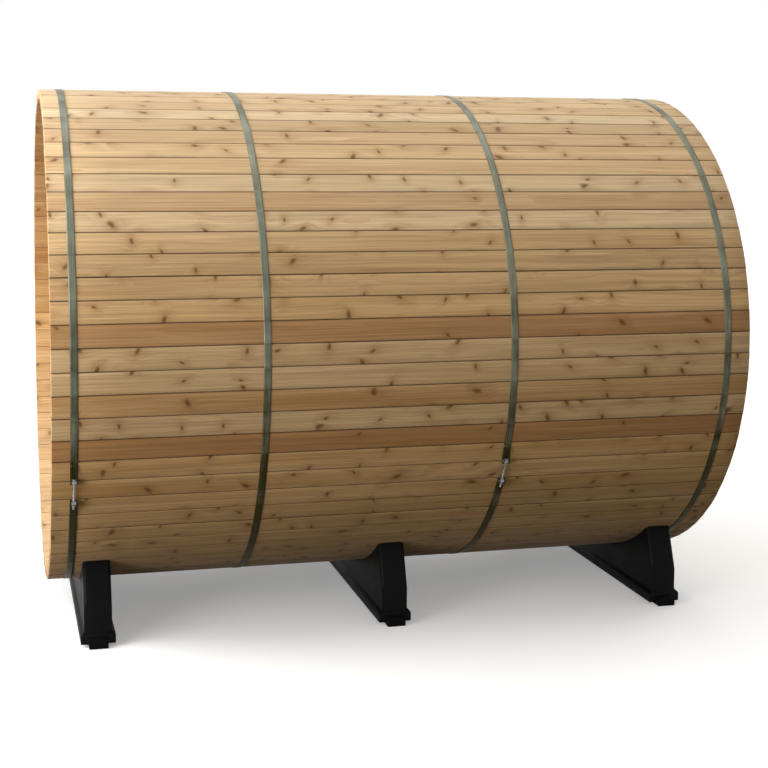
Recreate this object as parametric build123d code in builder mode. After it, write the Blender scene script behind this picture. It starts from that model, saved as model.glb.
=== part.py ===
"""Barrel sauna: coopered staves in four steel hoops on three cradles, with a porch and two board walls."""

import os
from math import atan2, cos, degrees, radians, sin, sqrt, tan

from build123d import *

# X runs along the barrel from the open porch (-X) to the back (+X), Z is up, and the origin
# lies on the ground below the middle of the barrel. All lengths are in millimetres.

# Barrel of staves
stave_count = 75
stave_length = 2440.0
stave_thickness = 35.0
barrel_radius = 908.0  # axis to the middle of a stave's outer face
ground_clearance = 112.0  # ground to the lowest stave
stave_gap = 0.2
seam_arris = 2.0
bead_radius = 7.0
bead_clearance = 0.2
bead_sides = 6

# End walls, let into crozes cut round the inside of the barrel
wall_thickness = 35.0
croze_depth = 10.0
croze_clearance = 0.3
porch_depth = 695.0  # front end of the barrel to the middle of the front wall
back_recess = 88.0  # back end of the barrel to the middle of the back wall
wall_board_count = 13
door_board_count = 5
board_gap = 0.2
board_arris = 3.0
tongue_thickness = 9.0
tongue_length = 9.0
tongue_clearance = 0.3

# Hoops and their bolt tensioners
hoop_width = 25.0
hoop_thickness = 1.2
front_hoop_offset = 72.0  # front end of the barrel to the middle of the first hoop
middle_hoop_offset = 856.0  # front wall to the middle of the third hoop
tensioner_stave = 24  # counted down the side from the seam at the top
trunnion_radius = 8.0
trunnion_inset = 5.0  # trunnion centre, back from the seam beside the bolt's stave
trunnion_clearance = 0.2
strap_inset = 10.0  # folded strap's end, short of the far seam of its stave
strap_landing = 8.0  # length of the folded strap that lies flat on the hoop
bolt_diameter = 8.0
bolt_clearance = 0.2
bolt_tail = 14.0  # thread that stands past the nut
nut_across_flats = 13.0
nut_height = 6.5
head_height = 5.5
seat_clearance = 0.1
slot_clearance = 1.0
loop_sides = 8
bore_sides = 6
shank_sides = 12
hex_sides = 6

# Cradles and their ground pads
cradle_width = 1180.0
cradle_thickness = 96.0
cradle_inset = 160.0  # barrel end to the middle of an outer cradle
crease_height = 152.0
tip_lean = 52.0  # how far each tip leans in above the crease
tip_chamfer = 8.0
saddle_clearance = 0.3
flange_reach = 12.0
flange_lip = 32.0
flange_slope = 12.0
pad_thickness = 10.0
pad_length = 120.0
pad_width = 66.0
pad_nose = 24.0  # how far a pad stands out past the end of its cradle
nose_height = 32.0
nose_clearance = 0.3

# Doorway, frame and door
doorway_corner_cover = 40.0  # wall left between the doorway's corners and the rim of the wall
frame_thickness = 38.0
frame_reveal = 10.0  # frame stands this far past each face of the wall
frame_clearance = 0.2
stop_thickness = 12.0
stop_gap = 0.3
leaf_thickness = 35.0
door_gap = 3.0
ledge_width = 90.0
ledge_thickness = 18.0
ledge_clearance = 4.0
ledge_margin = 160.0  # door edge to the middle of the outer ledges
hinge_margin = 230.0  # door edge to the middle of a hinge
hinge_height = 76.0
hinge_leaf_width = 24.0
hinge_leaf_thickness = 2.0
knuckle_radius = 5.0
knuckle_sides = 12
handle_height = 240.0
handle_depth = 55.0
handle_thickness = 28.0
handle_bar = 24.0  # thickness of the grip and of its two posts
handle_round = 12.0
handle_inset = 70.0  # door edge to the middle of the handle

# Worked out from the sizes above
stave_angle = 360 / stave_count
half_angle = radians(stave_angle / 2)
axis_height = ground_clearance + barrel_radius
inner_radius = barrel_radius - stave_thickness
middle_radius = barrel_radius - stave_thickness / 2
face_half_width = barrel_radius * tan(half_angle)
front_end = -stave_length / 2
back_end = stave_length / 2
front_wall_x = front_end + porch_depth
back_wall_x = back_end - back_recess
wall_radius = inner_radius + croze_depth - croze_clearance

os.makedirs("parts", exist_ok=True)


def save(builder, label):
    """Label a finished piece and write it to its own file."""
    builder.part.label = label
    export_step(builder.part, f"parts/{label}.step")


def across_barrel(x, turn=0):
    """Plane across the barrel at x, centred on its axis, with its own Y turned this far from straight up."""
    sideways = (0, cos(radians(turn)), sin(radians(turn)))
    return Plane(origin=(x, 0, axis_height), x_dir=sideways, z_dir=(1, 0, 0))


# Staves
def stave_edge(radius):
    """Half width of a stave at this distance from the barrel's axis, less half the seam."""
    return radius * tan(half_angle) - stave_gap / 2


# One stave as it lies at the top: its bead fills the next one's cove, and both crozes cross its inner face
arris_radius = barrel_radius - seam_arris
with BuildPart() as stave:
    with BuildSketch(Plane.YZ):
        with BuildLine():
            Polyline(
                (-stave_edge(inner_radius), inner_radius),
                (stave_edge(inner_radius), inner_radius),
                (stave_edge(arris_radius), arris_radius),
                (stave_edge(barrel_radius) - seam_arris, barrel_radius),
                (-stave_edge(barrel_radius) + seam_arris, barrel_radius),
                (-stave_edge(arris_radius), arris_radius),
                close=True,
            )
        make_face()
        with Locations((stave_edge(middle_radius), middle_radius)):
            RegularPolygon(bead_radius, bead_sides)
        with Locations((-stave_edge(middle_radius) - stave_gap, middle_radius)):
            cove_radius = bead_radius + bead_clearance
            RegularPolygon(cove_radius, bead_sides, rotation=stave_angle, mode=Mode.SUBTRACT)
    extrude(amount=stave_length / 2, both=True)
    with Locations((front_wall_x, 0, inner_radius), (back_wall_x, 0, inner_radius)):
        Box(
            wall_thickness + 2 * croze_clearance,
            2 * (face_half_width + bead_radius),
            2 * croze_depth,
            mode=Mode.SUBTRACT,
        )

# A fifth of the barrel at a time, from the seam at the top round by +Y, which is left of the door
sector_names = [
    "left_roof_staves",
    "left_wall_staves",
    "floor_staves",
    "right_wall_staves",
    "right_roof_staves",
]
staves_per_sector = stave_count // len(sector_names)
for sector, sector_name in enumerate(sector_names):
    numbers = range(sector * staves_per_sector, (sector + 1) * staves_per_sector)
    turns = [-(number + 1 / 2) * stave_angle for number in numbers]
    with BuildPart() as sector_staves:
        with Locations(*[Location((0, 0, axis_height), (turn, 0, 0)) for turn in turns]):
            add(stave.part)
    save(sector_staves, sector_name)

# Hoops, each with its ends folded into loops on the two staves beside the one under the bolt
loop_inner = trunnion_radius + trunnion_clearance
loop_outer = loop_inner + hoop_thickness
hoop_face = barrel_radius + hoop_thickness
trunnion_height = barrel_radius + loop_outer
trunnion_place = face_half_width - trunnion_inset
strap_end = face_half_width - strap_inset
slot_width = nut_across_flats + 2 * slot_clearance
tensioner_turn = (tensioner_stave + 1 / 2) * stave_angle

# The bolt's straight line from one trunnion to the other, seen from the stave under it
loop_turn = radians(stave_angle)
bolt_reach = trunnion_height * sin(loop_turn) - trunnion_place * cos(loop_turn)
bolt_height = trunnion_height * cos(loop_turn) + trunnion_place * sin(loop_turn)

# Place of each hoop along the barrel, and the side its bolt is on: 1 is right of the door
hoops = {
    "front_hoop": (front_end + front_hoop_offset, 1),
    "front_wall_hoop": (front_wall_x, -1),
    "middle_hoop": (front_wall_x + middle_hoop_offset, 1),
    "back_wall_hoop": (back_wall_x, -1),
}


def bolt_plane(hoop_x, side):
    """Plane across the bolt, halfway along it, that faces down the side of the barrel."""
    across = across_barrel(hoop_x, side * tensioner_turn)
    middle = across.from_local_coords((0, bolt_height, 0))
    return Plane(origin=middle, x_dir=(1, 0, 0), z_dir=across.x_dir * -side)


def strap_outline(fold, radius, *flat_points):
    """Teardrop outline: a circle round the trunnion drawn out to the points that lie on the hoop."""
    with BuildSketch() as outline:
        with Locations((fold, trunnion_height)):
            RegularPolygon(radius, loop_sides, major_radius=False, rotation=180 / loop_sides)
        with BuildLine():
            Polyline(*flat_points)
        make_hull()
    return outline.sketch


for hoop_name, (hoop_x, side) in hoops.items():
    with BuildPart() as hoop:
        with BuildSketch(across_barrel(hoop_x)):
            RegularPolygon(hoop_face, stave_count, major_radius=False, rotation=90)
            RegularPolygon(barrel_radius, stave_count, major_radius=False, rotation=90, mode=Mode.SUBTRACT)
        extrude(amount=hoop_width / 2, both=True)
        with BuildSketch(across_barrel(hoop_x, side * tensioner_turn)):
            with Locations((0, barrel_radius)):
                Rectangle(2 * bolt_reach, 2 * loop_outer)
        extrude(amount=hoop_width, both=True, mode=Mode.SUBTRACT)
        for end in (-1, 1):
            fold = end * trunnion_place
            tail = -end * strap_end
            landing = tail + end * strap_landing
            slot_end = fold + 2 * end * loop_outer
            strap_plane = across_barrel(hoop_x, side * tensioner_turn + end * stave_angle)
            strap_top = hoop_face + hoop_thickness
            with BuildSketch(strap_plane):
                foot = [(fold, barrel_radius), (tail, barrel_radius), (tail, strap_top)]
                add(strap_outline(fold, loop_outer, *foot))
                hollow = [(fold, hoop_face), (landing, hoop_face)]
                add(strap_outline(fold, loop_inner, *hollow), mode=Mode.SUBTRACT)
            extrude(amount=hoop_width / 2, both=True)
            with BuildSketch(strap_plane):
                with Locations(((landing + slot_end) / 2, hoop_face)):
                    Rectangle(abs(slot_end - landing), 3 * loop_outer, align=(Align.CENTER, Align.MIN))
            extrude(amount=slot_width / 2, both=True, mode=Mode.SUBTRACT)
    save(hoop, hoop_name)

# Trunnions: cross pins in the loops, bored for the bolt
with BuildPart() as trunnions:
    for hoop_x, side in hoops.values():
        with BuildSketch(across_barrel(hoop_x, side * tensioner_turn)):
            with Locations((-bolt_reach, bolt_height), (bolt_reach, bolt_height)):
                RegularPolygon(trunnion_radius, loop_sides, rotation=180 / loop_sides)
    extrude(amount=hoop_width / 2, both=True)
    for hoop_x, side in hoops.values():
        with BuildSketch(bolt_plane(hoop_x, side)):
            RegularPolygon((bolt_diameter + bolt_clearance) / 2, bore_sides, major_radius=False)
    extrude(amount=bolt_reach + 2 * trunnion_radius, both=True, mode=Mode.SUBTRACT)
save(trunnions, "hoop_trunnions")

# Bolts: the head bears on the upper trunnion and the nut on the lower one
head_seat = bolt_reach + trunnion_radius * cos(radians(180 / loop_sides)) + seat_clearance
with BuildPart() as bolts:
    for hoop_x, side in hoops.values():
        with BuildSketch(bolt_plane(hoop_x, side).offset(-head_seat)):
            RegularPolygon(bolt_diameter / 2, shank_sides)
    extrude(amount=2 * head_seat + nut_height + bolt_tail)
    for hoop_x, side in hoops.values():
        with BuildSketch(bolt_plane(hoop_x, side).offset(-head_seat - head_height)):
            RegularPolygon(nut_across_flats / 2, hex_sides, major_radius=False, rotation=180 / hex_sides)
    extrude(amount=head_height)
save(bolts, "hoop_bolts")

with BuildPart() as nuts:
    for hoop_x, side in hoops.values():
        with BuildSketch(bolt_plane(hoop_x, side).offset(head_seat)):
            RegularPolygon(nut_across_flats / 2, hex_sides, major_radius=False, rotation=180 / hex_sides)
            RegularPolygon(
                (bolt_diameter + bolt_clearance) / 2, bore_sides, major_radius=False, mode=Mode.SUBTRACT
            )
    extrude(amount=nut_height)
save(nuts, "hoop_nuts")

# Cradles: a saddle with leaning tips over a flared base
saddle_radius = barrel_radius / cos(half_angle) + saddle_clearance
end_half_width = cradle_width / 2
tip_half_width = end_half_width - tip_lean
tip_height = axis_height - sqrt(saddle_radius**2 - tip_half_width**2)
cradle_places = {
    "front_cradle": front_end + cradle_inset,
    "middle_cradle": 0,
    "back_cradle": back_end - cradle_inset,
}
for cradle_name, cradle_x in cradle_places.items():
    with BuildPart() as cradle:
        with BuildSketch(Plane.YZ.offset(cradle_x)):
            with BuildLine():
                Polyline(
                    (-end_half_width, pad_thickness),
                    (end_half_width, pad_thickness),
                    (end_half_width, crease_height),
                    (tip_half_width, tip_height),
                    (-tip_half_width, tip_height),
                    (-end_half_width, crease_height),
                    close=True,
                )
            make_face()
            with Locations((0, axis_height)):
                Circle(saddle_radius, mode=Mode.SUBTRACT)
        extrude(amount=cradle_thickness / 2, both=True)
        for outward in (Axis.Y, -Axis.Y):
            leaning_face = cradle.faces().filter_by(GeomType.PLANE).sort_by(outward)[-2]
            side_edges = leaning_face.edges().filter_by(Axis.X, reverse=True)
            chamfer(side_edges, length=tip_chamfer)
        with BuildSketch(Plane.XY.offset(pad_thickness)):
            with Locations((cradle_x, 0)):
                Rectangle(cradle_thickness + 2 * flange_reach, cradle_width + 2 * flange_reach)
        extrude(amount=flange_lip)
        with BuildSketch(Plane.XY.offset(pad_thickness + flange_lip)):
            with Locations((cradle_x, 0)):
                Rectangle(cradle_thickness + 2 * flange_reach, cradle_width + 2 * flange_reach)
        extrude(amount=flange_slope, taper=degrees(atan2(flange_reach, flange_slope)))
    save(cradle, cradle_name)

    nose_end = end_half_width + flange_reach + pad_nose
    pad_place = nose_end - pad_length / 2
    nose_length = pad_nose - nose_clearance
    nose_place = nose_end - nose_length / 2
    on_ground = (Align.CENTER, Align.CENTER, Align.MIN)
    with BuildPart() as pads:
        with Locations((cradle_x, -pad_place), (cradle_x, pad_place)):
            Box(pad_width, pad_length, pad_thickness, align=on_ground)
        with Locations((cradle_x, -nose_place), (cradle_x, nose_place)):
            Box(pad_width, nose_length, nose_height, align=on_ground)
    save(pads, cradle_name.replace("cradle", "pads"))

# End walls in upright tongue-and-groove boards
board_pitch = 2 * wall_radius / wall_board_count
doorway_width = door_board_count * board_pitch
doorway_half_height = sqrt((wall_radius - doorway_corner_cover) ** 2 - (doorway_width / 2) ** 2)
outer_board = wall_board_count // 2
door_edge_board = door_board_count // 2


def board_section(x, y, width, thickness):
    """Section of a board as seen from above: arrises, a tongue towards +Y and a groove behind it."""
    edge = (width - board_gap) / 2
    groove_thickness = tongue_thickness + 2 * tongue_clearance
    with BuildSketch() as section:
        with Locations((x, y)):
            Rectangle(thickness, 2 * edge)
        chamfer(section.vertices(), length=board_arris)
        with Locations((x, y + edge)):
            Rectangle(tongue_thickness, 2 * tongue_length)
        with Locations((x, y - edge)):
            Rectangle(groove_thickness, 2 * (tongue_length + tongue_clearance), mode=Mode.SUBTRACT)
    return section.sketch


def wall_boards(label, wall_x, numbers, low, high, has_doorway=True):
    """Boards of an end wall between two heights above the axis, cut to the round of the croze."""
    with BuildPart() as boards:
        with BuildSketch(Plane.XY.offset(axis_height + low)):
            for number in numbers:
                add(board_section(wall_x, number * board_pitch, board_pitch, wall_thickness))
        extrude(amount=high - low)
        with BuildSketch(across_barrel(wall_x)):
            RegularPolygon(wall_radius, stave_count, major_radius=False, rotation=90)
        extrude(amount=wall_thickness, both=True, mode=Mode.INTERSECT)
        if has_doorway:
            with Locations((wall_x, 0, axis_height)):
                Box(2 * wall_thickness, doorway_width, 2 * doorway_half_height, mode=Mode.SUBTRACT)
    save(boards, label)


left_boards = range(door_edge_board + 1, outer_board + 1)
right_boards = range(-outer_board, -door_edge_board)
door_boards = range(-door_edge_board, door_edge_board + 1)
wall_boards("front_wall_left", front_wall_x, left_boards, -wall_radius, wall_radius)
wall_boards("front_wall_right", front_wall_x, right_boards, -wall_radius, wall_radius)
wall_boards("front_wall_over_door", front_wall_x, door_boards, doorway_half_height, wall_radius)
wall_boards("front_wall_under_door", front_wall_x, door_boards, -wall_radius, -doorway_half_height)
wall_boards("back_wall", back_wall_x, range(-outer_board, outer_board + 1), -wall_radius, wall_radius, False)

# Door frame: two jambs the full height of the doorway, with the head and the sill between them
frame_depth = wall_thickness + 2 * frame_reveal
frame_front = front_wall_x - frame_depth / 2
frame_half_width = doorway_width / 2 - frame_clearance
frame_half_height = doorway_half_height - frame_clearance
clear_half_width = frame_half_width - frame_thickness
clear_half_height = frame_half_height - frame_thickness
jamb_place = frame_half_width - frame_thickness / 2
rail_place = frame_half_height - frame_thickness / 2
rail_length = 2 * (clear_half_width - frame_clearance)

for jamb_name, jamb_y in (("left_door_jamb", jamb_place), ("right_door_jamb", -jamb_place)):
    with BuildPart() as jamb:
        with Locations((front_wall_x, jamb_y, axis_height)):
            Box(frame_depth, frame_thickness, 2 * frame_half_height)
        chamfer(jamb.edges().filter_by(Axis.Z), length=board_arris)
    save(jamb, jamb_name)

for rail_name, rail_z in (("door_head", axis_height + rail_place), ("door_sill", axis_height - rail_place)):
    with BuildPart() as rail:
        with Locations((front_wall_x, 0, rail_z)):
            Box(frame_depth, rail_length, frame_thickness)
        chamfer(rail.edges().filter_by(Axis.Y), length=board_arris)
    save(rail, rail_name)

# Stop strips that the closed door rests against
leaf_back = frame_front + leaf_thickness
stop_depth = frame_depth - leaf_thickness - stop_gap
stop_x = leaf_back + stop_gap + stop_depth / 2
stop_place = clear_half_width - frame_clearance - stop_thickness / 2
with BuildPart() as stops:
    with Locations((stop_x, -stop_place, axis_height), (stop_x, stop_place, axis_height)):
        Box(stop_depth, stop_thickness, 2 * (clear_half_height - frame_clearance))
    with Locations((stop_x, 0, axis_height + clear_half_height - frame_clearance - stop_thickness / 2)):
        Box(stop_depth, 2 * stop_place - stop_thickness - 2 * frame_clearance, stop_thickness)
save(stops, "door_stops")

# Door leaf: upright boards trimmed to the opening, on three ledges
leaf_half_width = clear_half_width - door_gap
leaf_half_height = clear_half_height - door_gap
leaf_x = frame_front + leaf_thickness / 2
leaf_pitch = 2 * leaf_half_width / door_board_count
with BuildPart() as leaf:
    with BuildSketch(Plane.XY.offset(axis_height - leaf_half_height)):
        for number in door_boards:
            add(board_section(leaf_x, number * leaf_pitch, leaf_pitch, leaf_thickness))
    extrude(amount=2 * leaf_half_height)
    with Locations((leaf_x, 0, axis_height)):
        Box(leaf_thickness, 2 * leaf_half_width, 2 * leaf_half_height, mode=Mode.INTERSECT)
save(leaf, "door_boards")

ledge_reach = leaf_half_height - ledge_margin
ledge_length = 2 * (clear_half_width - stop_thickness - ledge_clearance)
with BuildPart() as ledges:
    ledge_x = leaf_back + ledge_thickness / 2
    ledge_heights = [axis_height + step * ledge_reach for step in (-1, 0, 1)]
    with Locations(*[(ledge_x, 0, height) for height in ledge_heights]):
        Box(ledge_thickness, ledge_length, ledge_width)
    chamfer(ledges.faces().sort_by(Axis.X)[-3:].edges(), length=board_arris)
save(ledges, "door_ledges")

# Hinges on the left, their leaves flat on the jamb and the door
hinge_y = clear_half_width - door_gap / 2
hinge_reach = leaf_half_height - hinge_margin
hinge_heights = [axis_height - hinge_reach, axis_height + hinge_reach]
with BuildPart() as hinges:
    with Locations(*[(frame_front, hinge_y, height) for height in hinge_heights]):
        Box(
            hinge_leaf_thickness,
            2 * (hinge_leaf_width + knuckle_radius),
            hinge_height,
            align=(Align.MAX, Align.CENTER, Align.CENTER),
        )
    for height in hinge_heights:
        with BuildSketch(Plane.XY.offset(height)):
            with Locations((frame_front - knuckle_radius, hinge_y)):
                RegularPolygon(knuckle_radius, knuckle_sides, major_radius=False, rotation=180 / knuckle_sides)
        extrude(amount=hinge_height / 2, both=True)
save(hinges, "door_hinges")

# Pull handle: a grip on two posts, cut from one piece of wood
handle_y = -leaf_half_width + handle_inset
grip_room = handle_depth - handle_bar
with BuildPart() as handle:
    with BuildSketch(Plane.XZ.offset(-handle_y)):
        with Locations((frame_front - handle_depth / 2, axis_height)):
            Rectangle(handle_depth, handle_height)
        with Locations((frame_front - grip_room / 2, axis_height)):
            Rectangle(grip_room, handle_height - 2 * handle_bar, mode=Mode.SUBTRACT)
    extrude(amount=handle_thickness / 2, both=True)
    grip_face = handle.faces().sort_by(Axis.X)[0]
    fillet(grip_face.edges().filter_by(Axis.Y), radius=handle_round)
save(handle, "door_handle")
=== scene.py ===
# %% [markdown]
# # A barrel sauna of cedar staves
#
# The solid model already gives every piece its place and size. This lesson dresses it: staves with
# soft edges and real grain, flat steel hoops that fold round their cross pins, threaded bolts and
# black moulded cradles. The file is meant to be read from the top, cell by cell.

from math import asin, atan2, cos, hypot, pi, radians, sin, tan

import bmesh
import bpy
import numpy as np
from mathutils import Matrix, Vector


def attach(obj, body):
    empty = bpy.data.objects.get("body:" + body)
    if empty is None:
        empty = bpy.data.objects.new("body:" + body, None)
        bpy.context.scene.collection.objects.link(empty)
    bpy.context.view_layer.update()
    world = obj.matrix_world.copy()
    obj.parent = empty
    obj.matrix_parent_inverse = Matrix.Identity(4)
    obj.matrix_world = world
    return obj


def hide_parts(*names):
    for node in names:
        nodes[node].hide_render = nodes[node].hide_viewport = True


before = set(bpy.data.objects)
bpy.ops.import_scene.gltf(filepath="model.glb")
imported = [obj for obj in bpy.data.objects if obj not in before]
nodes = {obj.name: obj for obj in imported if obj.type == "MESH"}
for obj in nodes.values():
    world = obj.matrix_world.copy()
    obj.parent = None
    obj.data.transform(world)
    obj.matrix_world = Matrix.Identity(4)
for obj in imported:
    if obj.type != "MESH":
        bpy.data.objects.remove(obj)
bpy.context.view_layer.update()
MM = 0.001
print("pieces in the solid model:", len(nodes))

# %% [markdown]
# ## Sizes
#
# The staves, hoops and bolts are drawn again here, so the sizes that place them are repeated from the
# solid model. All lengths are in millimetres until a mesh is made; only the camera, the floor and the
# lamps are placed in metres. A hoop's second number says on which side its bolt sits: 1 is the side in
# the picture and -1 the far one.

# %% Sizes that place the pieces
STAVE_COUNT = 75
STAVE_ANGLE = 360 / STAVE_COUNT
BARREL_RADIUS = 908.0
STAVE_THICKNESS = 35.0
HALF_LENGTH = 1220.0
AXIS_HEIGHT = 1020.0
FRONT_WALL_X = -525.0
BACK_WALL_X = 1132.0
HOOPS = {
    "front_hoop": (-1148.0, 1),
    "front_wall_hoop": (FRONT_WALL_X, -1),
    "middle_hoop": (331.0, 1),
    "back_wall_hoop": (BACK_WALL_X, -1),
}
DICE_SEED = 75
dice = np.random.default_rng(DICE_SEED)
half_angle = radians(STAVE_ANGLE / 2)
print("face of a stave:", round(2 * BARREL_RADIUS * tan(half_angle), 1), "mm")

# %% [markdown]
# ## Camera
#
# The picture is taken from standing eye height, a little towards the porch end, so a sliver of the
# inside shows. The place, the turn and the lens were worked out from the seams between the staves. The
# lens is shifted a little, because the picture is a crop of a larger one.

# %% Camera at the picture's place
CAMERA_PLACE = Vector((-1.3847, -5.5570, 1.7002))
CAMERA_YAW = radians(14.27)
CAMERA_PITCH = radians(5.21)
CAMERA_ROLL = radians(-0.36)
SENSOR_WIDTH = 36
PICTURE_SIZE = 768
FOCAL_PIXELS = 1455.7
CENTRE_OFFSET = (-20.0, -98.0)

ahead = cos(CAMERA_PITCH)
forward = Vector((sin(CAMERA_YAW) * ahead, cos(CAMERA_YAW) * ahead, -sin(CAMERA_PITCH)))
level = Vector((cos(CAMERA_YAW), -sin(CAMERA_YAW), 0))
down = forward.cross(level)
right = cos(CAMERA_ROLL) * level + sin(CAMERA_ROLL) * down
up = sin(CAMERA_ROLL) * level - cos(CAMERA_ROLL) * down

camera_data = bpy.data.cameras.new("camera")
camera_data.sensor_width = SENSOR_WIDTH
camera_data.lens = FOCAL_PIXELS / PICTURE_SIZE * SENSOR_WIDTH
camera_data.shift_x = -CENTRE_OFFSET[0] / PICTURE_SIZE
camera_data.shift_y = CENTRE_OFFSET[1] / PICTURE_SIZE
camera = bpy.data.objects.new("camera", camera_data)
turn = Matrix((right, up, -forward)).transposed().to_4x4()
camera.matrix_world = Matrix.Translation(CAMERA_PLACE) @ turn
bpy.context.scene.collection.objects.link(camera)
bpy.context.scene.camera = camera
print("lens:", round(camera_data.lens, 2), "mm")

# %% [markdown]
# ## Helpers for materials
#
# Four small functions serve all the materials. One turns a colour as painters write it into the linear
# light that shaders use. One adds a shader node with its settings and links. One starts an empty
# material, and one turns the size of a pattern in millimetres into the scale that a shader needs.

# %% Colour, node and pattern helpers
# The mix node in its colour form: input 0 is the share, and inputs 6 and 7 are the two colours
COLOUR_MIX = {"data_type": "RGBA", "out": 2}


def linear(hex_colour):
    """An sRGB hex colour as linear red, green, blue and a full alpha."""
    shares = [int(hex_colour[i : i + 2], 16) / 255 for i in (1, 3, 5)]
    return [s / 12.92 if s <= 0.04045 else ((s + 0.055) / 1.055) ** 2.4 for s in shares] + [1.0]


def add(tree, kind, inputs=None, out=0, **settings):
    """Add a shader node, set and link its inputs, and give back the output asked for."""
    made = tree.nodes.new(kind)
    for name, value in settings.items():
        setattr(made, name, value)
    for socket, value in (inputs or {}).items():
        if isinstance(value, bpy.types.NodeSocket):
            tree.links.new(value, made.inputs[socket])
        else:
            made.inputs[socket].default_value = value
    return made.outputs[out] if made.outputs else made


def new_material(name):
    """An empty material and its node tree."""
    material = bpy.data.materials.new(name)
    material.use_nodes = True
    material.node_tree.nodes.clear()
    return material, material.node_tree


def per_metre(length, width):
    """Scale of a pattern along and across the grain, from its length and width in millimetres."""
    return (1 / (length * MM), 1 / (width * MM), 1 / (width * MM))


print("a mid grey in linear light:", [round(share, 3) for share in linear("#808080")])

# %% [markdown]
# ## Helpers for pieces
#
# Staves, pins and bolts are all stacks of rings with a skin between them, so one function lays the
# faces of that skin. Another turns points and faces into a mesh, and a third puts a mesh in the scene
# as a piece that rides with the sauna and hides the pieces of the solid model that it stands for.


# %% Piece helpers
def skin(base, rows, count):
    """Faces round a stack of rings, from ring to ring and then over both ends."""
    faces = []
    for row in range(rows - 1):
        here = base + row * count
        there = here + count
        for step in range(count):
            following = (step + 1) % count
            faces.append((here + step, here + following, there + following, there + step))
    last = base + (rows - 1) * count
    faces.append(tuple(base + step for step in reversed(range(count))))
    faces.append(tuple(last + step for step in range(count)))
    return faces


def mesh_of(name, points, faces):
    """A mesh from points in millimetres, with its faces turned outward."""
    mesh = bpy.data.meshes.new(name)
    mesh.from_pydata([[c * MM for c in point] for point in points], [], faces)
    work = bmesh.new()
    work.from_mesh(mesh)
    bmesh.ops.recalc_face_normals(work, faces=work.faces)
    work.to_mesh(mesh)
    work.free()
    return mesh


def set_attribute(mesh, name, kind, domain, values):
    """Store numbers on a mesh for the shader to read."""
    made = mesh.attributes.new(name, kind, domain)
    field = "vector" if kind == "FLOAT_VECTOR" else "value"
    made.data.foreach_set(field, np.asarray(values, np.float32).ravel())


def piece(name, mesh, material, slot, *stands_for, smooth=40):
    """Put a mesh in the scene as a piece of the sauna that stands for nodes of the solid model."""
    made = bpy.data.objects.new(name, mesh)
    bpy.context.scene.collection.objects.link(made)
    mesh.materials.clear()
    mesh.materials.append(material)
    mesh.shade_smooth()
    mesh.set_sharp_from_angle(angle=radians(smooth))
    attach(made, "root")
    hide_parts(*stands_for)
    return made


print("faces round a cube, as two rings of four:", len(skin(0, 2, 4)))

# %% [markdown]
# ## Cedar
#
# The barrel is knotty cedar, planed and left bare. To the eye that is a pale tan wood with soft
# streaks along each board, small dark knots that the grain flows round, and here and there a clear
# reddish board of heartwood. A flat picture of wood would repeat and would look wrong on the end
# grain, so the wood is solid: every board carries its own coordinates, measured in the tree, and the
# shader cuts growth rings out of them.
#
# First come the knots. One possible knot lies in each field of board, 160 by 70 mm. Dice decide
# whether it is there, how large it is and at what slant the board cuts it. A knot has a dark core
# and a soft halo, which fades before the next field begins.

# %% Knots
KNOT_FIELD = (160.0, 70.0)
KNOT_SCATTER = 0.95
KNOT_RADII = (5.5, 13.0)
KNOT_SLANT = 1.4
KNOT_SQUASH = (1.0, 0.5, 0.0)
KNOT_NOTCH = 1000 / 220
KNOT_RAGGEDNESS = 0.9
CORE_REACH = (0.4, 1.6)
HALO_FALL = 0.62
FIELD_FADE = 0.15


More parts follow.
